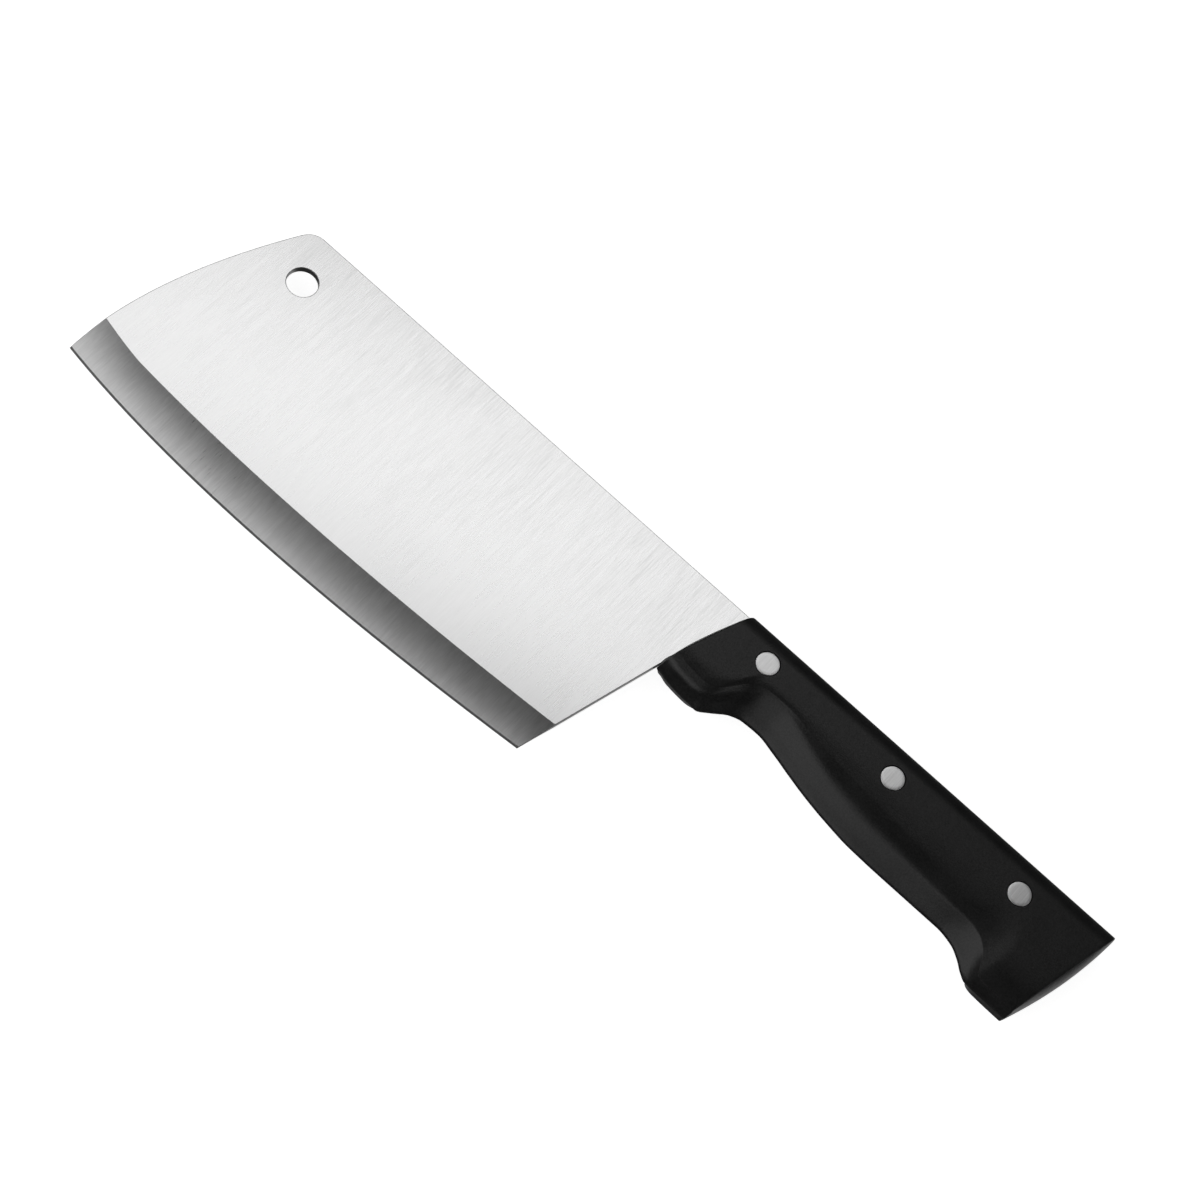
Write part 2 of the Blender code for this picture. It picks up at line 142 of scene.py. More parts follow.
# --- clearances and cutters ------------------------------------------------------------------
FIT = 0.12                  # clearance round the tang where it shows
LIFT = FIT / 3              # clearance above it
SEAM = FIT / 4              # half the gap between the scales
RIVET_FIT = 0.2             # clearance round the rivets
POCKET_LOW = -3.0           # the tang's pocket is cut from here up
POCKET_HEEL = 6.0           # and from this far below the heel of the tang
POCKET_FRONT = -14.0        # ahead of the handle's front end
POCKET_MARGIN = 3.0         # and from here above the spine
ROOM_LOW = -1.0             # a rivet's hole is cut from here up
ROOM_MARGIN = 2.0           # to this far above the side

# --- surfaces of the blade, as indices of its materials --------------------------------------
FLAT, BEVEL, WALL = range(3)

# --- how finely shapes are divided -----------------------------------------------------------
CIRCLE_STEPS = 112
ROUND_STEPS = 4
HEAD_STEPS = 4
TANG_FILLET_STEPS = 12
TANG_CORNER_STEPS = 8
CORNER_STEPS = 16
FRONT_STEPS = 72
EDGE_STEPS = 120
BEVEL_STEPS = 10
FILLET_STEPS = 20
FLAT_STEPS = 12
CHAIKIN_ROUNDS = 4
STATION_STEP = 0.75         # distance between the outlines that make up a scale
DOME_STEPS = 12
FLOOR_STEPS = 96
MERGE = 1e-3                # vertices closer than this are one
SHARP_ANGLE = 32            # faces that meet at more than this are shaded as an edge, degrees
UV_PER_METRE = 10
UV_RISE = 0.3               # share of a height that counts as a place along Y

# --- brushed steel ---------------------------------------------------------------------------
FINE_LINES = 3.4            # lines per millimetre, and their stretch along the grinding
FINE_STRETCH = 0.05
BROAD_LINES = 1.0
BROAD_STRETCH = 0.06
FINE_SHARE = 0.6            # the fine lines' share of the grain
PATCHES = 0.045             # patches per millimetre in which the grain is stronger or fainter
PATCH_DEPTH = 0.45          # the grain's depth where it is faintest
FADED_DEPTH = 0.3           # the same where it fades out
FAINT_LEVEL = 0.58          # tone of the steel without any grain
DEPTH_DARKENING = 0.14      # how much darker the steel is where the grain is full: in its strong patches and towards the spine
STEEL_TONES = (0.35, 0.65)  # where on the ramp from the dark to the light colour tones lie
ROUGHNESS_SWING = 0.03
LINE_HEIGHT = 0.02          # millimetres
FADE_OVERSHOOT = 0.2        # the grain is full this share of the way past the spine
# Darkest and lightest grey, roughness, anisotropy, turn of the grain in degrees, and bump.
BLADE_STEEL = (0.55, 0.78, 0.27, 0.75, 2, 0.14)
BEVEL_STEEL = (0.48, 0.62, 0.30, 0.6, 11, 0.08)
# The walls' dark grey is painted shade: it stands in for the shaded floor that the blade's walls and
# hole walls would mirror.
SHADED_WALL_STEEL = (0.20, 0.32, 0.38, 0.3, 90, 0.15)
RIVET_STEEL = (0.60, 0.86, 0.38, 0.2, 30, 0.1)

# --- black plastic and floor -----------------------------------------------------------------
PLASTIC_GRAIN = 2.6         # grains per millimetre
PLASTIC_CLOUDS = 0.12       # clouds per millimetre
GRAIN_SHARE = 0.7
PLASTIC_TONES = (0.38, 0.62)
PLASTIC_LIGHTEST = 0.010
PLASTIC_ROUGHNESS = (0.37, 0.41)
PLASTIC_IOR = 1.46
PLASTIC_BUMP = 0.06         # millimetres
FLOOR_GREY = 0.7
FLOOR_ROUGHNESS = 0.9
FLOOR_GLOW = 0.88

# --- camera ----------------------------------------------------------------------------------
AIM = (-27.67, -23.02, 1.0)     # the point in the middle of the picture, in the drawing frame
ELEVATION = 63.97           # degrees above the table
HEADING = 13.5              # the view turns this far from +Y towards -X
TWIST = 29.606              # and this far about its own axis
DISTANCE = 700.3
FOCAL_LENGTH = 88.452
SENSOR_WIDTH = 36.0

# --- studio ----------------------------------------------------------------------------------
# Name, place, target, size, turn in degrees and radiance of each rectangular light.
LIGHTS = (
    ("key", (-234, 257, 600), (-234, 257, 0), (688, 236), 19, 1.54),
    ("front_fill", (-375, -620, 420), (-100, 0, 0), (1050, 740), 0, 1.2),
    ("left_fill", (-900, -150, 260), (0, 0, 0), (700, 440), 0, 1.6),
    ("right_fill", (900, 60, 260), (0, 0, 0), (800, 440), 0, 1.2),
)
SURROUND = 0.06             # how bright the dim surround is
TABLE_GLOW = 0.9            # how bright the glow of a pale table is
# Where along an axis of direction the glow starts and where it is full.
GLOW_RANGES = (("Z", -0.6, -0.85), ("Y", 0.05, 0.3))
FLOOR_RADIUS = 3.0          # metres


# --- curves ----------------------------------------------------------------------------------
def curve_value(points, s):
    """The value at s of a smooth curve through (place, value) points, with no overshoot."""
    if s <= points[0][0]:
        return points[0][1]
    if s >= points[-1][0]:
        return points[-1][1]
    i = max(k for k in range(len(points) - 1) if points[k][0] <= s)

    def chord(k):
        return (points[k + 1][1] - points[k][1]) / (points[k + 1][0] - points[k][0])

    def slope(k):
        if k in (0, len(points) - 1) or chord(k - 1) * chord(k) <= 0:
            return 0.0
        return 2 * chord(k - 1) * chord(k) / (chord(k - 1) + chord(k))

    width = points[i + 1][0] - points[i][0]
    t = (s - points[i][0]) / width
    return (
        points[i][1] * (1 + 2 * t) * (1 - t) ** 2
        + points[i + 1][1] * t * t * (3 - 2 * t)
        + width * t * (1 - t) * (slope(i) * (1 - t) - slope(i + 1) * t)
    )


def quadratic(start, control, end, t):
    """A point of the quadratic Bezier curve."""
    return tuple(
        a * (1 - t) ** 2 + 2 * b * t * (1 - t) + c * t * t for a, b, c in zip(start, control, end)
    )


def arc(centre, radius, start, end, steps):
    """Points on an arc, its angles in degrees."""
    angles = (math.radians(start + (end - start) * i / steps) for i in range(steps + 1))
    return [(centre[0] + radius * math.cos(a), centre[1] + radius * math.sin(a)) for a in angles]


def chaikin(points, rounds):
    """The polyline with its inner corners cut, which tends to a smooth curve."""
    for _ in range(rounds):
        cut = [points[0]]
        for a, b in zip(points, points[1:]):
            cut.append(tuple(0.75 * p + 0.25 * q for p, q in zip(a, b)))
            cut.append(tuple(0.25 * p + 0.75 * q for p, q in zip(a, b)))
        cut[1] = points[0]
        cut[-1] = points[-1]
        points = cut[1:]
    return points


# --- meshes ----------------------------------------------------------------------------------
def placed(name, bm, origin, surfaces):
    """An object made of a bmesh drawn in millimetres in the drawing frame."""
    bmesh.ops.recalc_face_normals(bm, faces=bm.faces)
    bmesh.ops.scale(bm, verts=bm.verts, vec=Vector((MM, MM, MM)))
    bmesh.ops.translate(bm, verts=bm.verts, vec=origin)
    mesh = bpy.data.meshes.new(name)
    bm.to_mesh(mesh)
    bm.free()
    obj = bpy.data.objects.new(name, mesh)
    bpy.context.scene.collection.objects.link(obj)
    for surface in surfaces:
        mesh.materials.append(surface)
    return obj


def rounds(place, profile):
    """A bmesh turned about an upright axis at place, from (radius, height) pairs bottom to top."""
    bm = bmesh.new()
    rings = []
    for radius, height in profile:
        if radius == 0:
            rings.append([bm.verts.new((*place, height))])
            continue
        ring = arc(place, radius, 0, 360, CIRCLE_STEPS)[:-1]
        rings.append([bm.verts.new((x, y, height)) for x, y in ring])
    for lower, upper in zip(rings, rings[1:]):
        for i in range(CIRCLE_STEPS):
            j = (i + 1) % CIRCLE_STEPS
            corners = [lower[i % len(lower)], lower[j % len(lower)]]
            corners += [upper[j % len(upper)], upper[i % len(upper)]]
            bm.faces.new(list(dict.fromkeys(corners)))
    return bm


def capped(place, profile):
    """rounds() closed at its bottom and top."""
    return rounds(place, [(0, profile[0][1]), *profile, (0, profile[-1][1])])


def add_uv(obj):
    """UVs that follow X and Y, whose U is the direction along which brushed steel spreads light."""
    mesh = obj.data
    layer = mesh.uv_layers.new(name="brushing")
    for loop in mesh.loops:
        x, y, z = mesh.vertices[loop.vertex_index].co
        layer.data[loop.index].uv = (x * UV_PER_METRE + z, y * UV_PER_METRE + UV_RISE * z)


def shade(obj):
    obj.data.shade_smooth()
    obj.data.set_sharp_from_angle(angle=math.radians(SHARP_ANGLE))


def finished(obj, node):
    """The object, attached to the root body in place of the imported part node, which is hidden."""
    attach(obj, "root")
    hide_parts(node)
    return obj


# --- blade -----------------------------------------------------------------------------------
def heel_x(y):
    """The heel line, which runs on inside the handle."""
    return HEEL[0] + HEEL_LEAN * (y - HEEL[1])


def front_point(t):
    return quadratic(SPINE_FRONT, FRONT_BOW, TIP, t)


def front_t(y):
    """The parameter at which the front edge's curve reaches y."""
    square = TIP[1] - 2 * FRONT_BOW[1]
    return (-FRONT_BOW[1] - math.sqrt(FRONT_BOW[1] ** 2 + square * y)) / square


def grind_point(t):
    x, y = quadratic(BEVEL_HEEL, BEVEL_BELLY, BEVEL_TIP, t)
    run = max(0.0, (GRIND_RISE_START - x) / (GRIND_RISE_START - BEVEL_TIP[0]))
    return x, y + GRIND_RISE * run ** GRIND_RISE_POWER


def edge_point(t):
    return quadratic(HEEL, EDGE_BELLY, TIP, t)


def front_edge(low_y):
    """The front edge from the spine, round the corner and down to low_y."""
    start = front_t(-FRONT_CORNER)
    end = front_t(low_y)
    on_spine = (SPINE_FRONT[0] + FRONT_CORNER, 0.0)
    shares = [i / CORNER_STEPS for i in range(CORNER_STEPS)]
    corner = [quadratic(on_spine, SPINE_FRONT, front_point(start), t) for t in shares]
    shares = [i / FRONT_STEPS for i in range(FRONT_STEPS + 1)]
    return corner + [front_point(start + (end - start) * t) for t in shares]


def flat_outline():
    """The flat of the blade and the tang, from the heel end of the grind line to its front end."""
    low = -TANG_DEPTH
    fillet_x = heel_x(TANG_HEEL_Y) + TANG_FILLET
    tang = arc((fillet_x, TANG_HEEL_Y), TANG_FILLET, 180, FILLET_END, TANG_FILLET_STEPS)
    tang += [(tang[-1][0] + FILLET_RUN_OUT, low)]
    tang += [(x, low) for x, _ in RIVETS]
    tang += [(TANG_END - TANG_CORNER, low)]
    corner = (TANG_END - TANG_CORNER, low + TANG_CORNER)
    tang += arc(corner, TANG_CORNER, -90, 0, TANG_CORNER_STEPS)[1:]
    spine = [(TANG_END, 0.0)] + [(x, 0.0) for x, _ in RIVETS[::-1]] + [(HANG_HOLE[0], 0.0)]
    return tang + spine + front_edge(grind_point(1.0)[1])[:-1]


def bevel_columns():
    """Lines down the bevel from the grind line to the edge, as (x, y, half thickness) points."""
    columns = []
    for i in range(EDGE_STEPS + 1):
        t = i / EDGE_STEPS
        top = Vector(grind_point(t))
        low = Vector(edge_point(t))
        strip = low + (top - low).normalized() * MICRO_BEVEL
        column = []
        for k in range(BEVEL_STEPS + 1):
            u = k / BEVEL_STEPS
            x, y = top.lerp(strip, u)
            if i == EDGE_STEPS:
                x = front_point(front_t(y))[0]
            hollow = 4 * u * (1 - u) * BEVEL_HOLLOW
            column.append((x, y, HALF_BLADE + (HALF_SHOULDER - HALF_BLADE) * u - hollow))
        columns.append([*column, (*low, HALF_EDGE)])
    return columns


def inset(loop, i, distance):
    """The loop's point i moved inwards by distance; the loop runs anticlockwise."""
    x, y = loop[i][:2]
    before = Vector((x - loop[i - 1][0], y - loop[i - 1][1])).normalized()
    after = Vector(loop[(i + 1) % len(loop)][:2]) - Vector((x, y))
    after.normalize()
    n1 = Vector((-before.y, before.x))
    n2 = Vector((-after.y, after.x))
    mitre = (n1 + n2) / (1 + n1.dot(n2))
    return x + mitre.x * distance, y + mitre.y * distance


def round_rings(steps):
    """(inward share, height share) pairs of a quarter round, from the face down to the wall."""
    angles = [math.radians(90 * (steps - k) / steps) for k in range(steps + 1)]
    return [(1 - math.cos(a), math.sin(a)) for a in angles]


def bridge(bm, upper, lower, surface):
    """Quads between two closed rings with as many vertices."""
    for i in range(len(upper)):
        face = bm.faces.new((upper[i - 1], upper[i], lower[i], lower[i - 1]))
        face.material_index = surface


def wall_faces(bm, rings):
    """Faces between rings, the middle ones of which are the bare wall."""
    for i, (upper, lower) in enumerate(zip(rings, rings[1:])):
        bridge(bm, upper, lower, WALL if i in range(1, len(rings) - 2) else FLAT)


def outline_rings(bm, loop):
    """Closed rings from the upper face round the wall to the lower face."""
    rings = []
    for side in (1, -1):
        half = []
        for inward, raised in round_rings(ROUND_STEPS):
            ring = []
            for i, (_, _, h) in enumerate(loop):
                radius = min(WALL_ROUND, THIN_ROUND * h)
                x, y = inset(loop, i, radius * inward)
                ring.append(bm.verts.new((x, y, side * (h - radius + radius * raised))))
            half.append(ring)
        rings += half if side == 1 else half[::-1]
    return rings


def hole_rings(bm, place, radius):
    """The same for a hole; each ring starts at its point nearest the spine."""
    rings = []
    for side in (1, -1):
        half = []
        for inward, raised in round_rings(ROUND_STEPS):
            z = side * (HALF_BLADE - WALL_ROUND + WALL_ROUND * raised)
            ring = arc(place, radius + WALL_ROUND * inward, 90, 450, CIRCLE_STEPS)[:-1]
            half.append([bm.verts.new((x, y, z)) for x, y in ring])
        rings += half if side == 1 else half[::-1]
    return rings


def sheet_with_holes(bm, border, cuts):
    """Flat faces inside an anticlockwise border, cut from the front to the butt through holes.

    Each cut is (border place on the spine, hole ring, border place below the hole)."""
    half = CIRCLE_STEPS // 2
    count = len(border)

    def along(start, end):
        return [border[(start + k) % count] for k in range((end - start) % count + 1)]

    faces = []
    top, ring, low = cuts[0]
    faces.append(along(top, low) + ring[half::-1])
    for (top_a, ring_a, low_a), (top_b, ring_b, low_b) in zip(cuts, cuts[1:]):
        up = ring_b[half::-1]
        down = [ring_a[0], *ring_a[:half - 1:-1]]
        faces.append(along(low_a, low_b) + up + along(top_b, top_a) + down)
    top, ring, low = cuts[-1]
    faces.append(along(low, top) + [ring[0], *ring[:half - 1:-1]])
    return [bm.faces.new(face) for face in faces]


def make_blade(origin, surfaces):
    columns = bevel_columns()
    heel = columns[0]
    front = columns[-1]
    edge = [column[-1] for column in columns[1:-1]]
    flat = [(x, y, HALF_BLADE) for x, y in flat_outline()]
    loop = heel[::-1] + flat + front + edge[::-1]
    bm = bmesh.new()
    rings = outline_rings(bm, loop)
    wall_faces(bm, rings)
    holes = [(HANG_HOLE, HANG_HOLE_RADIUS)] + [(place, TUBE_RADIUS + RIVET_FIT) for place in RIVETS]
    hole_walls = [hole_rings(bm, place, radius) for place, radius in holes]
    for wall in hole_walls:
        wall_faces(bm, wall[::-1])
    rows = BEVEL_STEPS + 2
    sharp = []
    for side, face_ring in ((1, 0), (-1, -1)):
        ring = rings[face_ring]
        # the grid of the bevel: its ends and its lowest row are vertices of the ring
        grid = [[ring[rows - 1 - k] for k in range(rows)]]
        for column in columns[1:-1]:
            inner = [bm.verts.new((x, y, side * h)) for x, y, h in column[:-1]]
            grid.append(inner)
        front_start = rows + len(flat)
        grid.append([ring[front_start + k] for k in range(rows)])
        edge_start = front_start + rows
        for i, inner in enumerate(grid[1:-1]):
            inner.append(ring[edge_start + len(edge) - 1 - i])
        for a, b in zip(grid, grid[1:]):
            for k in range(rows - 1):
                face = bm.faces.new((a[k], a[k + 1], b[k + 1], b[k]))
                face.material_index = BEVEL
        border = ring[rows - 1:front_start + 1] + [inner[0] for inner in grid[-2:0:-1]]
        spots = {}
        for i, vert in enumerate(border):
            spots[round(vert.co.x, 2), vert.co.y > -TANG_DEPTH / 2] = i
        grind = min(
            range(front_start - rows + 2, len(border)), key=lambda i: abs(border[i].co.x - HANG_HOLE[0])
        )
        cuts = [(spots[round(HANG_HOLE[0], 2), True], hole_walls[0][face_ring], grind)]
        for (x, _), wall in zip(RIVETS, hole_walls[1:]):
            cuts.append((spots[round(x, 2), True], wall[face_ring], spots[round(x, 2), False]))
        for face in sheet_with_holes(bm, border, cuts):
            sharp += list(face.edges)
        for k in (BEVEL_STEPS, BEVEL_STEPS + 1):
            sharp += [bm.edges.get((a[k], b[k])) for a, b in zip(grid, grid[1:])]
        for end in (grid[0], grid[-1]):
            sharp += [bm.edges.get((a, b)) for a, b in zip(end, end[1:])]
    for face in bm.faces:
        face.smooth = True
    for edge_line in sharp:
        edge_line.smooth = False
    blade = placed("blade_fine", bm, origin, surfaces)
    add_uv(blade)
    return finished(blade, "blade")


# --- handle scales ---------------------------------------------------------------------------
def section(s):
    """A scale's outer line at station s: (y, z) from the spine round to the belly seam."""
    top = HALF_THICKNESS
    belly = -curve_value(BELLY, s)
    crest = -curve_value(CREST, s)
    height = curve_value(CREST_HEIGHT, s)
    fillet = arc((-SPINE_FILLET, top - SPINE_FILLET), SPINE_FILLET, 0, 90, FILLET_STEPS)
    below_crest = crest - belly
    flat_end = min(crest + curve_value(ROLL, s), -FLAT_DEPTH)
    flat_width = flat_end + ROLL_START + SPINE_FILLET
    reach = curve_value(CREST_REACH, s)
    flat = [(-SPINE_FILLET + flat_width * i / FLAT_STEPS, top) for i in range(1, FLAT_STEPS)]
    roll = Vector(((crest + flat_end) / 2, top - ROLL_DROP * (top - height)))
    ridge = Vector((crest, height))
    scoop = Vector((belly + SCOOP_SPLIT[0] * below_crest, SCOOP_SPLIT[1] * height))
    skin = [(flat_end + ROLL_START, top), (flat_end, top), roll, ridge.lerp(roll, reach), ridge]
    skin += [ridge.lerp(scoop, reach), scoop, (belly, SCOOP_FOOT * height), (belly, SEAM)]
    return [(0.0, SEAM), *fillet, *flat, *chaikin(skin, CHAIKIN_ROUNDS)]


def slant(s):
    return FRONT_SLANT + (BUTT_SLANT - FRONT_SLANT) * s / HANDLE_LENGTH


def side_point(s, y, z):
    return FRONT_START + s + slant(s) * y, y, z


def end_rows(s, dome):
    """The rows from the last full section round the rim and over the bulging end."""
    rim = section(s)
    back = section(s - math.copysign(RIM_ROUND, dome))
    depth = -rim[-1][0]

    def end_point(y, z, height):
        middle = 1 - (2 * -y / depth - 1) ** 2
        lens = CORNER_DOME + (abs(dome) - CORNER_DOME) * middle
        x = FRONT_START + s + slant(s) * y + math.copysign(lens * (1 - height ** 2), dome)
        return x, y, SEAM + (z - SEAM) * height

    def inside_rim(z):
        """The share of the height at which the rounding of the rim ends."""
        return 1 - min(RIM_SHARE, RIM_ROUND / max(z - SEAM, LEAST_HEIGHT))

    rows = []
    for k in range(ROUND_STEPS + 1):
        row = []
        for (y, z), (y_back, z_back) in zip(rim, back):
            start = side_point(s - math.copysign(RIM_ROUND, dome), y_back, z_back)
            end = end_point(y, z, inside_rim(z))
            row.append(quadratic(start, side_point(s, y, z), end, k / ROUND_STEPS))
        rows.append(row)
    for i in range(1, DOME_STEPS + 1):
        rows.append([end_point(y, z, inside_rim(z) * (1 - i / DOME_STEPS)) for y, z in rim])
    return rows


def scale_body():
    """The upper scale, solid down to the middle plane."""
    front, butt = END_DOMES
    count = round((HANDLE_LENGTH - 2 * RIM_ROUND) / STATION_STEP)
    inner = [RIM_ROUND + (HANDLE_LENGTH - 2 * RIM_ROUND) * i / count for i in range(1, count)]
    rows = [[side_point(s, y, z) for y, z in section(s)] for s in inner]
    rows = end_rows(0.0, -front)[::-1] + rows + end_rows(HANDLE_LENGTH, butt)
    bm = bmesh.new()
    grid = [[bm.verts.new(p) for p in row] for row in rows]
    for a, b in zip(grid, grid[1:]):
        for i in range(len(a) - 1):
            bm.faces.new((a[i], a[i + 1], b[i + 1], b[i]))
    rim = [row[0] for row in grid] + grid[-1][1:-1]
    rim += [row[-1] for row in reversed(grid)] + grid[0][-2:0:-1]
    bm.faces.new(rim)
    bmesh.ops.remove_doubles(bm, verts=bm.verts, dist=MERGE)
    return bm


def tang_pocket():
    """The space the tang needs in a scale, open to the spine and the front."""
    low = POCKET_LOW
    high = HALF_BLADE + LIFT
    bottom = -TANG_DEPTH - FIT
    end = TANG_END + FIT
    foot = TANG_HEEL_Y - POCKET_HEEL
    centre = (heel_x(TANG_HEEL_Y) + TANG_FILLET, TANG_HEEL_Y)
    fillet = arc(centre, TANG_FILLET - FIT, 180, FILLET_END, TANG_FILLET_STEPS)
    outline = [(heel_x(foot) + FIT, foot), *fillet, (fillet[-1][0] + FILLET_RUN_OUT, bottom)]
    outline += [(end, bottom), (end, POCKET_MARGIN), (POCKET_FRONT, POCKET_MARGIN)]
    outline += [(POCKET_FRONT, foot)]
    bm = bmesh.new()
    face = bm.faces.new([bm.verts.new((x, y, low)) for x, y in outline])
    raised = bmesh.ops.extrude_face_region(bm, geom=[face])["geom"]
    verts = [v for v in raised if isinstance(v, bmesh.types.BMVert)]
    bmesh.ops.translate(bm, verts=verts, vec=(0, 0, high - low))
    return bm


def rivet_room(place):
    """A countersunk hole through a scale."""
    top = HALF_THICKNESS
    head = HEAD_RADIUS + RIVET_FIT
    floor = top - HEAD_DEPTH - RIVET_FIT
    shank = TUBE_RADIUS + RIVET_FIT
    out = top + ROOM_MARGIN
    return capped(place, [(shank, ROOM_LOW), (shank, floor), (head, floor), (head, out)])


def cut_away(obj, cutters):
    """Subtracts the cutters from obj for good and removes them."""
    for other in cutters:
        boolean = obj.modifiers.new(other.name, "BOOLEAN")
        boolean.operation = "DIFFERENCE"
        boolean.solver = "EXACT"
        boolean.object = other
    bpy.context.view_layer.update()
    graph = bpy.context.evaluated_depsgraph_get()
    mesh = bpy.data.meshes.new_from_object(obj.evaluated_get(graph))
    obj.modifiers.clear()
    obj.data = mesh
    for other in cutters:
        bpy.data.objects.remove(other)


def make_scale(name, node, origin, plastic, flip):
    """One scale; flip turns it over the middle plane, for the lower side of the handle."""
    def side(bm):
        if flip:
            bmesh.ops.transform(bm, matrix=Matrix.Scale(-1, 4, (0, 0, 1)), verts=bm.verts)
            bmesh.ops.reverse_faces(bm, faces=bm.faces)
        return bm

    scale = placed(name, side(scale_body()), origin, [plastic])
    cutters = [placed(f"{name}_pocket", side(tang_pocket()), origin, [])]
    for i, place in enumerate(RIVETS, 1):
        cutters.append(placed(f"{name}_room_{i}", side(rivet_room(place)), origin, []))
    cut_away(scale, cutters)
    shade(scale)
    return finished(scale, node)


# --- rivets ----------------------------------------------------------------------------------
def head_profile(top, outward):
    """(radius, height) pairs of a head's face from its rim to the middle; outward is 1 or -1."""
    face_radius = HEAD_RADIUS - HEAD_CHAMFER
    points = []
    for k in range(HEAD_STEPS + 1):
        angle = math.radians(90 * k / HEAD_STEPS)
        radius = face_radius + HEAD_CHAMFER * math.cos(angle)
        drop = HEAD_CROWN + HEAD_CHAMFER * (1 - math.sin(angle))
        points.append((radius, top - outward * drop))
    for k in range(1, HEAD_STEPS + 1):
        radius = face_radius * (1 - k / HEAD_STEPS)
        points.append((radius, top - outward * HEAD_CROWN * (radius / face_radius) ** 2))
    return points


def make_rivets(origin, metal):
    """Each rivet is a headed tube from above and a headed pin from below, pressed together."""
    top = HALF_THICKNESS
    for i, place in enumerate(RIVETS, 1):
        tube = [(0, PIN_REACH + FIT), (TUBE_BORE, PIN_REACH + FIT), (TUBE_BORE, TUBE_REACH)]
        tube += [(TUBE_RADIUS, TUBE_REACH), (TUBE_RADIUS, top - HEAD_DEPTH)]
        tube += [(HEAD_RADIUS, top - HEAD_DEPTH)] + head_profile(top, 1)
        pin = head_profile(-top, -1)[::-1] + [(HEAD_RADIUS, HEAD_DEPTH - top)]
        pin += [(PIN_RADIUS, HEAD_DEPTH - top), (PIN_RADIUS, PIN_REACH), (0, PIN_REACH)]
        for node, profile in ((f"rivet_{i}_tube", tube), (f"rivet_{i}_pin", pin)):
            piece = placed(f"{node}_fine", rounds(place, profile), origin, [metal])
            shade(piece)
            add_uv(piece)
            finished(piece, node)


# --- surfaces --------------------------------------------------------------------------------
class Surface:
    """A material with one Principled shader and helpers that add nodes to it."""

    def __init__(self, name):
        self.material = bpy.data.materials.new(name)
        self.material.use_nodes = True
        self.tree = self.material.node_tree
        self.shader = self.tree.nodes["Principled BSDF"]

    def node(self, kind, **settings):
        made = self.tree.nodes.new(kind)
        for key, value in settings.items():
            setattr(made, key, value)
        return made

    def link(self, output, target):
        self.tree.links.new(output, target)

    def noise(self, scale, stretch=(1, 1, 1), turn=0.0, detail=2.0, roughness=0.5):
        """A noise in object space; scale is features per millimetre, stretched per axis."""
        place = self.node("ShaderNodeTexCoord")
        mapping = self.node("ShaderNodeMapping")
        mapping.inputs["Rotation"].default_value = (0, 0, math.radians(turn))
        mapping.inputs["Scale"].default_value = [scale * k / MM for k in stretch]
        noise = self.node("ShaderNodeTexNoise")
        noise.inputs["Scale"].default_value = 1.0
        noise.inputs["Detail"].default_value = detail
        noise.inputs["Roughness"].default_value = roughness
        self.link(place.outputs["Object"], mapping.inputs["Vector"])
        self.link(mapping.outputs["Vector"], noise.inputs["Vector"])
        return noise.outputs["Fac"]

    def ranged(self, value, low, high, source_low=0.3, source_high=0.7):
        """value, mostly between source_low and source_high, mapped to low..high."""
        made = self.node("ShaderNodeMapRange")
        made.inputs["From Min"].default_value = source_low
        made.inputs["From Max"].default_value = source_high
        made.inputs["To Min"].default_value = low
        made.inputs["To Max"].default_value = high
        self.link(value, made.inputs["Value"])
        return made.outputs["Result"]

    def math(self, operation, a, b):
        made = self.node("ShaderNodeMath", operation=operation)
        for socket, value in zip(made.inputs, (a, b)):
            if isinstance(value, (int, float)):
                socket.default_value = value
            else:
                self.link(value, socket)
        return made.outputs[0]

    def mixed(self, a, b, share):
        """share of a and the rest of b."""
        rest = round(1 - share, 6)
        return self.math("ADD", self.math("MULTIPLY", a, share), self.math("MULTIPLY", b, rest))

    def tint(self, value, dark, light):
        """A colour between dark and light."""
        ramp = self.node("ShaderNodeValToRGB")
        ramp.color_ramp.elements[0].color = (*dark, 1)
        ramp.color_ramp.elements[1].color = (*light, 1)
        self.link(value, ramp.inputs["Fac"])
        return ramp.outputs["Color"]

    def bump(self, height, distance, strength):
        made = self.node("ShaderNodeBump")
        made.inputs["Distance"].default_value = distance * MM
        made.inputs["Strength"].default_value = strength
        self.link(height, made.inputs["Height"])
        return made.outputs["Normal"]


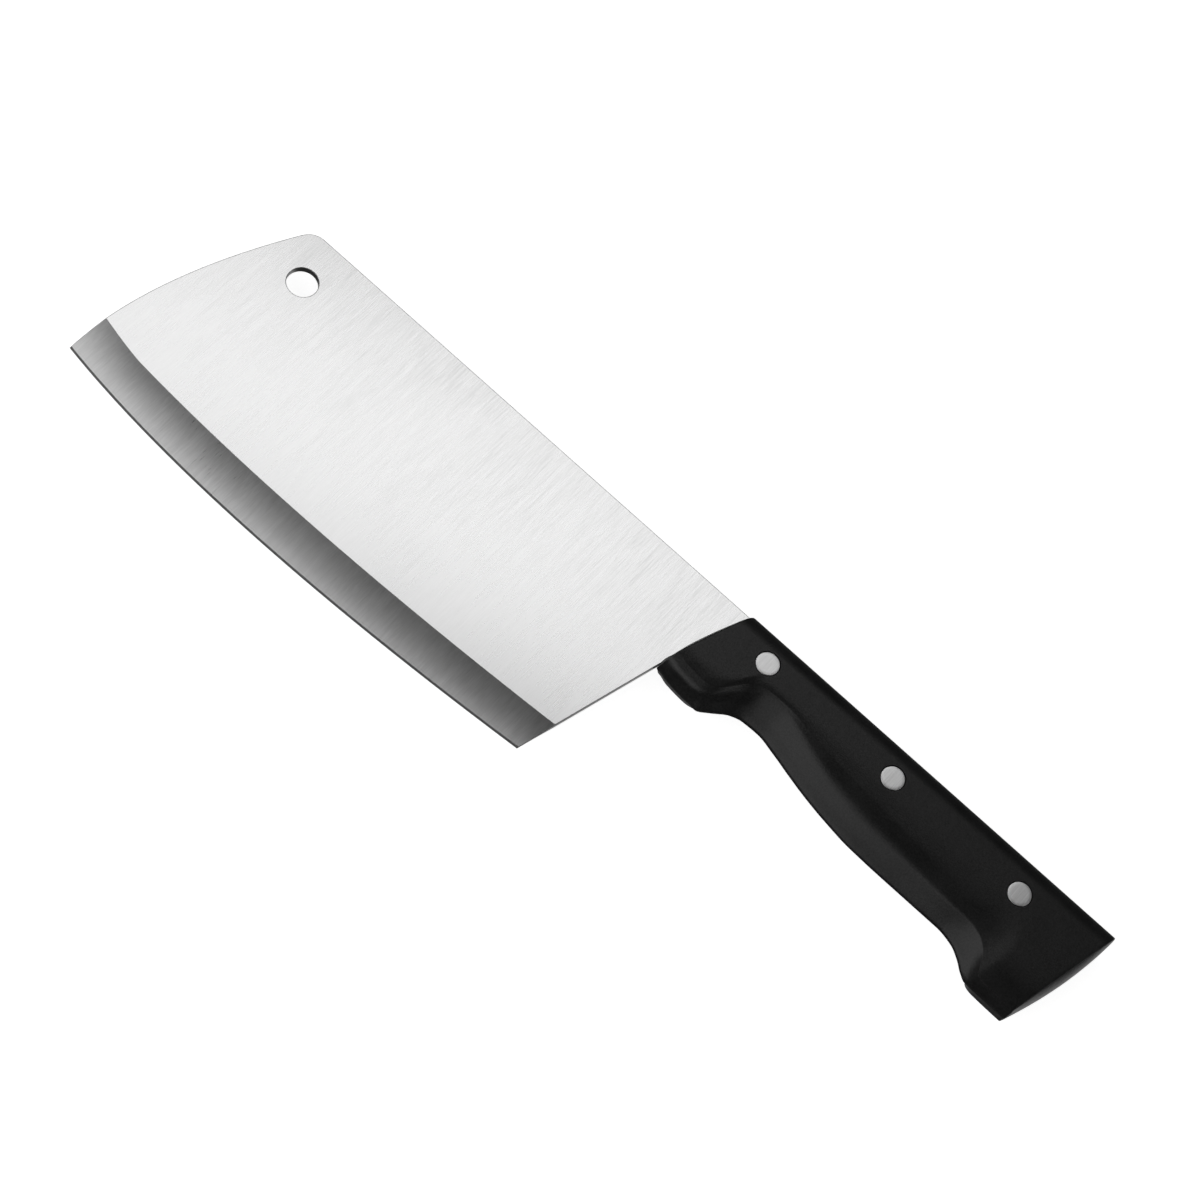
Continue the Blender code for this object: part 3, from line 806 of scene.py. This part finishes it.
def brushed_steel(name, dark, light, roughness, anisotropy, turn, bump, fade=None):
    """Satin steel ground in one direction, turn degrees from Y.

    fade is a pair of Y places in metres between which the grain grows from faint to full."""
    s = Surface(name)
    fine = s.noise(FINE_LINES, (1, FINE_STRETCH, 1), turn, 3.0, 0.65)
    broad = s.noise(BROAD_LINES, (1, BROAD_STRETCH, 1), turn, 2.0)
    patches = s.noise(PATCHES, (1, 1, 1), 0.0, 3.0)
    grain = s.mixed(fine, broad, FINE_SHARE)
    depth = s.ranged(patches, PATCH_DEPTH, 1.0)
    if fade:
        place = s.node("ShaderNodeTexCoord")
        split = s.node("ShaderNodeSeparateXYZ")
        s.link(place.outputs["Object"], split.inputs["Vector"])
        depth = s.math("MULTIPLY", depth, s.ranged(split.outputs["Y"], FADED_DEPTH, 1.0, *fade))
    swing = s.math("MULTIPLY", s.math("SUBTRACT", grain, 0.5), depth)
    level = s.math("SUBTRACT", FAINT_LEVEL, s.math("MULTIPLY", depth, DEPTH_DARKENING))
    tone = s.math("ADD", swing, level)
    colour = s.tint(s.ranged(tone, 0, 1, *STEEL_TONES), grey(dark), grey(light))
    s.link(colour, s.shader.inputs["Base Color"])
    rough = s.ranged(tone, roughness - ROUGHNESS_SWING, roughness + ROUGHNESS_SWING)
    s.link(rough, s.shader.inputs["Roughness"])
    s.shader.inputs["Metallic"].default_value = 1.0
    s.shader.inputs["Anisotropic"].default_value = anisotropy
    tangent = s.node("ShaderNodeTangent", direction_type="UV_MAP", uv_map="brushing")
    s.link(tangent.outputs["Tangent"], s.shader.inputs["Tangent"])
    s.link(s.bump(tone, LINE_HEIGHT, bump), s.shader.inputs["Normal"])
    return s.material


def grey(level):
    return (level, level, level)


def moulded_plastic():
    """Black plastic with a fine moulded grain and faint clouds in its gloss."""
    s = Surface("handle_plastic")
    grain = s.noise(PLASTIC_GRAIN, (1, 1, 1), 0.0, 3.0, 0.65)
    cloud = s.noise(PLASTIC_CLOUDS, (1, 1, 1), 0.0, 3.0)
    specks = s.mixed(grain, cloud, GRAIN_SHARE)
    colour = s.tint(s.ranged(specks, 0, 1, *PLASTIC_TONES), grey(0.0), grey(PLASTIC_LIGHTEST))
    s.link(colour, s.shader.inputs["Base Color"])
    s.link(s.ranged(cloud, *PLASTIC_ROUGHNESS), s.shader.inputs["Roughness"])
    s.shader.inputs["IOR"].default_value = PLASTIC_IOR
    s.link(s.bump(grain, PLASTIC_BUMP, 1.0), s.shader.inputs["Normal"])
    return s.material


def floor_surface():
    s = Surface("floor")
    s.shader.inputs["Base Color"].default_value = (*grey(FLOOR_GREY), 1)
    s.shader.inputs["Roughness"].default_value = FLOOR_ROUGHNESS
    s.shader.inputs["Emission Color"].default_value = (*grey(1), 1)
    s.shader.inputs["Emission Strength"].default_value = FLOOR_GLOW
    return s.material


# --- studio ----------------------------------------------------------------------------------
def area_light(origin, name, place, target, size, turn, radiance):
    """A rectangular light that looks at target; radiance is its brightness as seen."""
    data = bpy.data.lights.new(name, "AREA")
    data.shape = "RECTANGLE"
    data.size, data.size_y = (k * MM for k in size)
    data.energy = radiance * math.pi * data.size * data.size_y
    light = bpy.data.objects.new(name, data)
    bpy.context.scene.collection.objects.link(light)
    light.location = origin + Vector(place) * MM
    gaze = Vector(target) - Vector(place)
    spin = Quaternion((0, 0, 1), math.radians(turn))
    light.rotation_euler = (gaze.to_track_quat("-Z", "Y") @ spin).to_euler()


def world_light():
    """A dim surround, with the glow of a pale table in the directions steeply down and towards +Y."""
    world = bpy.data.worlds.new("surround")
    bpy.context.scene.world = world
    world.use_nodes = True
    tree = world.node_tree
    place = tree.nodes.new("ShaderNodeTexCoord")
    split = tree.nodes.new("ShaderNodeSeparateXYZ")
    tree.links.new(place.outputs["Generated"], split.inputs["Vector"])
    shares = []
    for axis, start, end in GLOW_RANGES:
        share = tree.nodes.new("ShaderNodeMapRange")
        share.inputs["From Min"].default_value = start
        share.inputs["From Max"].default_value = end
        tree.links.new(split.outputs[axis], share.inputs["Value"])
        shares.append(share.outputs["Result"])
    both = tree.nodes.new("ShaderNodeMath")
    both.operation = "MULTIPLY"
    tree.links.new(shares[0], both.inputs[0])
    tree.links.new(shares[1], both.inputs[1])
    glow = tree.nodes.new("ShaderNodeMapRange")
    glow.inputs["To Min"].default_value = SURROUND
    glow.inputs["To Max"].default_value = TABLE_GLOW
    tree.links.new(both.outputs[0], glow.inputs["Value"])
    tree.links.new(glow.outputs["Result"], tree.nodes["Background"].inputs["Strength"])
    tree.nodes["Background"].inputs["Color"].default_value = (1, 1, 1, 1)


def make_floor(low):
    """A pale floor that polished steel doesn't mirror."""
    mesh = bpy.data.meshes.new("floor")
    bm = bmesh.new()
    bmesh.ops.create_circle(bm, cap_ends=True, segments=FLOOR_STEPS, radius=FLOOR_RADIUS)
    bm.to_mesh(mesh)
    bm.free()
    floor = bpy.data.objects.new("floor", mesh)
    bpy.context.scene.collection.objects.link(floor)
    floor.location.z = low
    mesh.materials.append(floor_surface())
    floor.visible_glossy = False


def make_camera(origin):
    """The camera, which looks down at AIM from DISTANCE."""
    elevation = math.radians(ELEVATION)
    heading = math.radians(HEADING)
    level = math.cos(elevation)
    forward = Vector(
        (-math.sin(heading) * level, math.cos(heading) * level, -math.sin(elevation))
    )
    turn = math.radians(TWIST)
    right = forward.cross(Vector((0, 0, 1))).normalized()
    up = right.cross(forward)
    right, up = (
        right * math.cos(turn) + up * math.sin(turn),
        up * math.cos(turn) - right * math.sin(turn),
    )
    data = bpy.data.cameras.new("camera")
    data.lens = FOCAL_LENGTH
    data.sensor_width = SENSOR_WIDTH
    camera = bpy.data.objects.new("camera", data)
    bpy.context.scene.collection.objects.link(camera)
    place = origin + (Vector(AIM) - forward * DISTANCE) * MM
    basis = Matrix((right, up, -forward)).transposed().to_4x4()
    camera.matrix_world = Matrix.Translation(place) @ basis
    bpy.context.scene.camera = camera


def main():
    blade_low, blade_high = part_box("blade")
    scale_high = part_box("front_scale")[1]
    reach = FRONT_START + HANDLE_LENGTH + CORNER_DOME
    origin = Vector(
        (scale_high.x - reach * MM, blade_high.y, (blade_low.z + blade_high.z) / 2)
    )
    edge_y = origin.y + BEVEL_HEEL[1] * MM
    fade = (edge_y, origin.y - FADE_OVERSHOOT * edge_y)
    flat = brushed_steel("blade_steel", *BLADE_STEEL, fade)
    bevel = brushed_steel("bevel_steel", *BEVEL_STEEL)
    # the walls' steel carries painted shade in its dark grey
    wall = brushed_steel("shaded_wall_steel", *SHADED_WALL_STEEL)
    rivet = brushed_steel("rivet_steel", *RIVET_STEEL)
    plastic = moulded_plastic()
    make_blade(origin, [flat, bevel, wall])
    make_scale("front_scale_fine", "front_scale", origin, plastic, False)
    make_scale("back_scale_fine", "back_scale", origin, plastic, True)
    make_rivets(origin, rivet)
    make_floor(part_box("back_scale")[0].z)
    for light in LIGHTS:
        area_light(origin, *light)
    world_light()
    make_camera(origin)
    bpy.context.scene.view_settings.view_transform = "Standard"


main()
